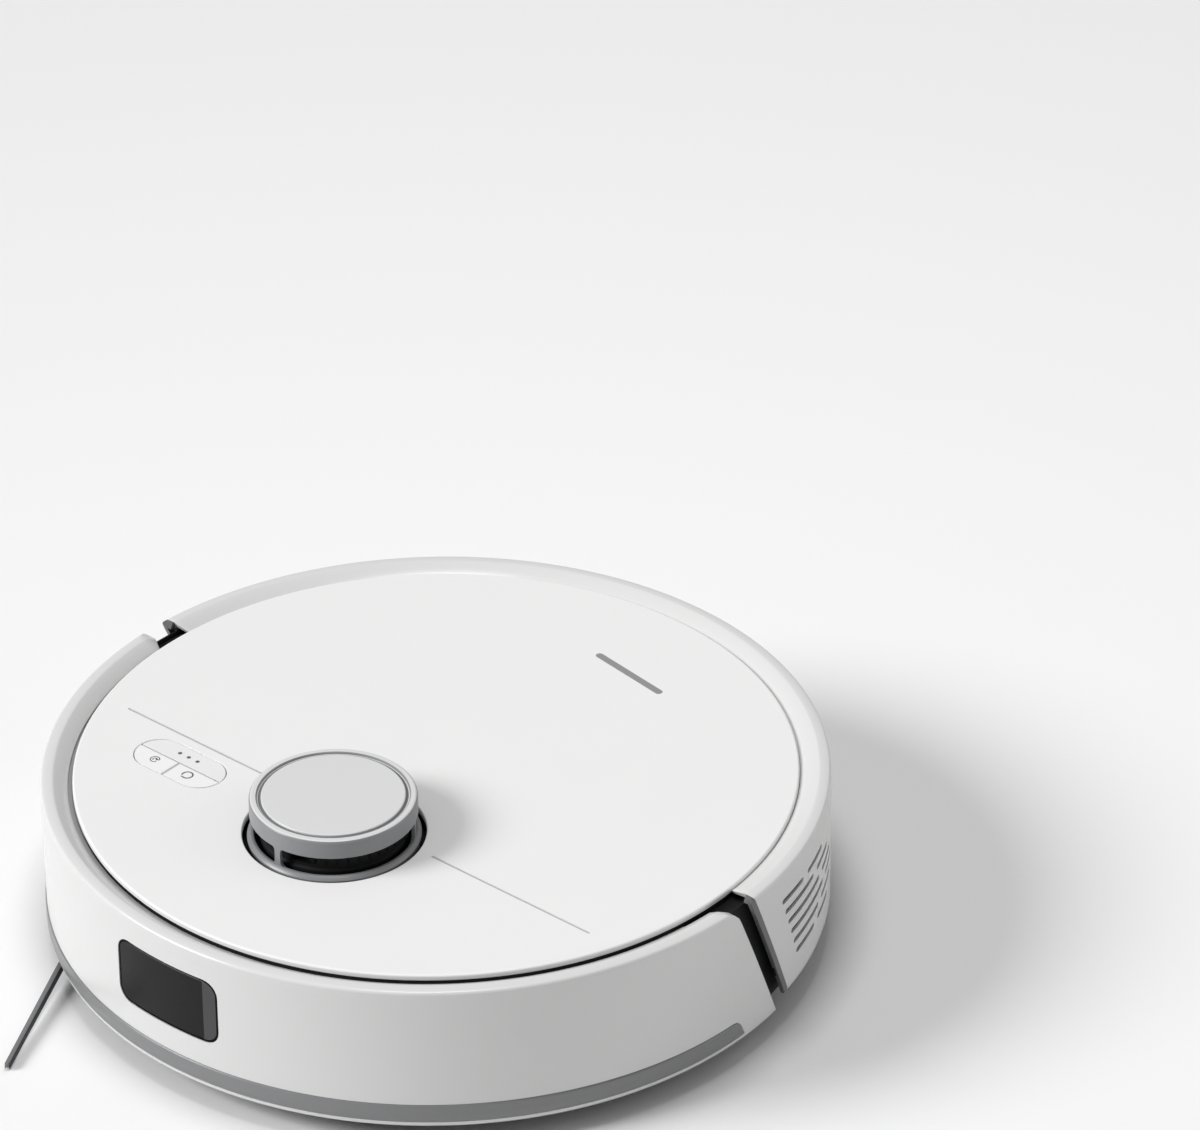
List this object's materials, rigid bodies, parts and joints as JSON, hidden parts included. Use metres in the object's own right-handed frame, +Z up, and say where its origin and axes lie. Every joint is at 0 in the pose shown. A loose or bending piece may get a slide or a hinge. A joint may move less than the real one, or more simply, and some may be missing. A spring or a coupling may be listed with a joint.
{
  "type": "robot vacuum",
  "caption": "Round robot vacuum with a raised laser turret, sprung front bumper, driven wheels on sprung arms, roller brush, side brush, swivel castor and pull-out dust bin.",
  "frame": {"origin": "on the floor, on the vertical axis of the round body", "axes": "+Z up, +Y to the back where the dust bin pulls out (the robot drives towards -Y), +X to the robot's left"},
  "size_m": [0.3512, 0.3861, 0.0987],
  "materials": {
    "shell_white": "satin white plastic",
    "cover_white": "smooth satin white plastic",
    "band_grey": "pale grey moulded plastic",
    "lid_grey": "fine matt pale grey",
    "strip_grey": "soft mid-grey elastomer",
    "trim_grey": "dark grey moulded plastic",
    "window_smoke": "infrared-passing black polycarbonate, polished",
    "black_plastic": "fine textured black ABS",
    "inner_black": "plain black ABS",
    "key_white": "satin white plastic",
    "tyre_rubber": "matt black rubber",
    "hub_grey": "grey moulded plastic",
    "gear_nylon": "natural acetal",
    "steel": "plain steel",
    "spring_steel": "drawn spring wire",
    "contact_metal": "plated contact strip",
    "motor_can": "drawn steel can",
    "motor_black": "black gearbox shell with its motor",
    "board_green": "circuit board with parts",
    "battery_blue": "shrink-wrapped lithium cells",
    "bin_smoke": "smoke-grey polycarbonate",
    "filter_paper": "pleated filter paper",
    "bristle_black": "nylon bristles and rubber blades",
    "whisker_grey": "dark grey nylon whiskers",
    "castor_roller": "smooth black roller with a white half",
    "belt_rubber": "round-edged drive belt",
    "guard_grey": "grey moulded guard"
  },
  "bodies": {
    "chassis": {"base_plate": "black_plastic", "base_screws": "steel", "battery_cover": "black_plastic", "battery_pack": "battery_blue", "bin_bay": "inner_black", "brush_guard": "guard_grey", "brush_housing": "inner_black", "brush_motor": "motor_black", "bumper_switches": "black_plastic", "button_panel": "cover_white", "charge_contacts": "contact_metal", "circuit_boards": "board_green", "cliff_windows": "window_smoke", "fan_housing": "inner_black", "fan_motor": "motor_can", "front_sensor": "black_plastic", "gap_trims": "trim_grey", "lidar_base": "inner_black", "lidar_belt": "belt_rubber", "lidar_motor": "motor_can", "rear_shell": "shell_white", "side_brush_motor": "motor_black", "top_cover": "cover_white", "upper_chassis": "inner_black", "wheel_wells": "inner_black", "arm_pins": "steel", "arm_springs": "spring_steel"},
    "bumper": {"bumper_shell": "shell_white", "bumper_strip": "strip_grey", "sensor_window": "window_smoke"},
    "spot_button": {"key_spot": "key_white"},
    "home_button": {"key_home": "key_white"},
    "turret": {"turret_cover": "band_grey", "turret_lid": "lid_grey"},
    "lidar": {"lidar_head": "inner_black"},
    "lidar_drive": {"lidar_motor_pulley": "gear_nylon"},
    "arm_left": {"gear_case_left": "black_plastic", "wheel_motor_left": "motor_can"},
    "wheel_left": {"drive_gear_left": "gear_nylon", "wheel_hub_left": "hub_grey", "tyre_left": "tyre_rubber"},
    "pinion_left": {"motor_pinion_left": "gear_nylon"},
    "arm_right": {"gear_case_right": "black_plastic", "wheel_motor_right": "motor_can"},
    "wheel_right": {"drive_gear_right": "gear_nylon", "wheel_hub_right": "hub_grey", "tyre_right": "tyre_rubber"},
    "pinion_right": {"motor_pinion_right": "gear_nylon"},
    "castor_swivel": {"castor_fork": "hub_grey"},
    "castor_roller": {"castor_wheel": "castor_roller"},
    "roller_brush": {"brush_core": "hub_grey", "brush_bristles": "bristle_black"},
    "side_brush": {"side_brush_hub": "hub_grey", "side_brush_bristles": "whisker_grey"},
    "fan": {"fan_impeller": "gear_nylon"},
    "bin": {"bin_body": "bin_smoke", "bin_lid": "bin_smoke", "bin_face": "shell_white", "bin_filter": "filter_paper"},
    "bin_button": {"bin_release": "trim_grey"}
  },
  "joints": [
    {"name": "bumper_travel", "type": "slide", "parent": "chassis", "child": "bumper", "axis": [0, 1, 0], "range_m": [0, 0.0025], "stiffness_N_per_m": 400, "springref_m": -0.004},
    {"name": "spot_button_press", "type": "slide", "parent": "chassis", "child": "spot_button", "axis": [0, 0, -1], "range_m": [0, 0.0008], "stiffness_N_per_m": 900, "springref_m": -0.0012},
    {"name": "home_button_press", "type": "slide", "parent": "chassis", "child": "home_button", "axis": [0, 0, -1], "range_m": [0, 0.0008], "stiffness_N_per_m": 900, "springref_m": -0.0012},
    {"name": "turret_press", "type": "slide", "parent": "chassis", "child": "turret", "axis": [0, 0, -1], "range_m": [0, 0.0012], "stiffness_N_per_m": 1500, "springref_m": -0.0012},
    {"name": "lidar_spin", "type": "hinge", "parent": "chassis", "child": "lidar", "pos_m": [0, -0.0668, 0.08], "axis": [0, 0, 1], "continuous": true},
    {"name": "lidar_drive_spin", "type": "hinge", "parent": "chassis", "child": "lidar_drive", "pos_m": [0.04, -0.096, 0.0735], "axis": [0, 0, 1], "continuous": true},
    {"name": "arm_left_swing", "type": "hinge", "parent": "chassis", "child": "arm_left", "pos_m": [0.088, -0.052, 0.04], "axis": [1, 0, 0], "range_deg": [-24, 0], "stiffness_Nm_per_rad": 0.33, "springref_deg": -60.16},
    {"name": "wheel_left_spin", "type": "hinge", "parent": "arm_left", "child": "wheel_left", "pos_m": [0.11, 0, 0.033], "axis": [1, 0, 0], "continuous": true},
    {"name": "pinion_left_spin", "type": "hinge", "parent": "arm_left", "child": "pinion_left", "pos_m": [0.088, -0.0253, 0.039], "axis": [1, 0, 0], "continuous": true},
    {"name": "arm_right_swing", "type": "hinge", "parent": "chassis", "child": "arm_right", "pos_m": [-0.088, -0.052, 0.04], "axis": [1, 0, 0], "range_deg": [-24, 0], "stiffness_Nm_per_rad": 0.33, "springref_deg": -60.16},
    {"name": "wheel_right_spin", "type": "hinge", "parent": "arm_right", "child": "wheel_right", "pos_m": [-0.11, 0, 0.033], "axis": [1, 0, 0], "continuous": true},
    {"name": "pinion_right_spin", "type": "hinge", "parent": "arm_right", "child": "pinion_right", "pos_m": [-0.088, -0.0253, 0.039], "axis": [1, 0, 0], "continuous": true},
    {"name": "castor_turn", "type": "hinge", "parent": "chassis", "child": "castor_swivel", "pos_m": [0, -0.134, 0.035], "axis": [0, 0, 1], "continuous": true},
    {"name": "castor_roll", "type": "hinge", "parent": "castor_swivel", "child": "castor_roller", "pos_m": [0, -0.127, 0.014], "axis": [1, 0, 0], "continuous": true},
    {"name": "roller_spin", "type": "hinge", "parent": "chassis", "child": "roller_brush", "pos_m": [0, 0.066, 0.022], "axis": [1, 0, 0], "continuous": true},
    {"name": "side_brush_spin", "type": "hinge", "parent": "chassis", "child": "side_brush", "pos_m": [-0.096, -0.118, 0.01], "axis": [0, 0, 1], "continuous": true, "deforming": ["side_brush_bristles"]},
    {"name": "fan_spin", "type": "hinge", "parent": "chassis", "child": "fan", "pos_m": [0.118, 0.074, 0.035], "axis": [0, 0, 1], "continuous": true},
    {"name": "bin_pull", "type": "slide", "parent": "chassis", "child": "bin", "axis": [0, 1, 0], "range_m": [0, 0.1]},
    {"name": "bin_release_press", "type": "slide", "parent": "bin", "child": "bin_button", "axis": [0, -1, 0], "range_m": [0, 0.002], "stiffness_N_per_m": 600, "springref_m": -0.0015}
  ],
  "couplings": [
    {"joint": "lidar_drive_spin", "follows": "lidar_spin", "ratio": 6},
    {"joint": "pinion_left_spin", "follows": "wheel_left_spin", "ratio": -3.3333},
    {"joint": "pinion_right_spin", "follows": "wheel_right_spin", "ratio": -3.3333}
  ]
}
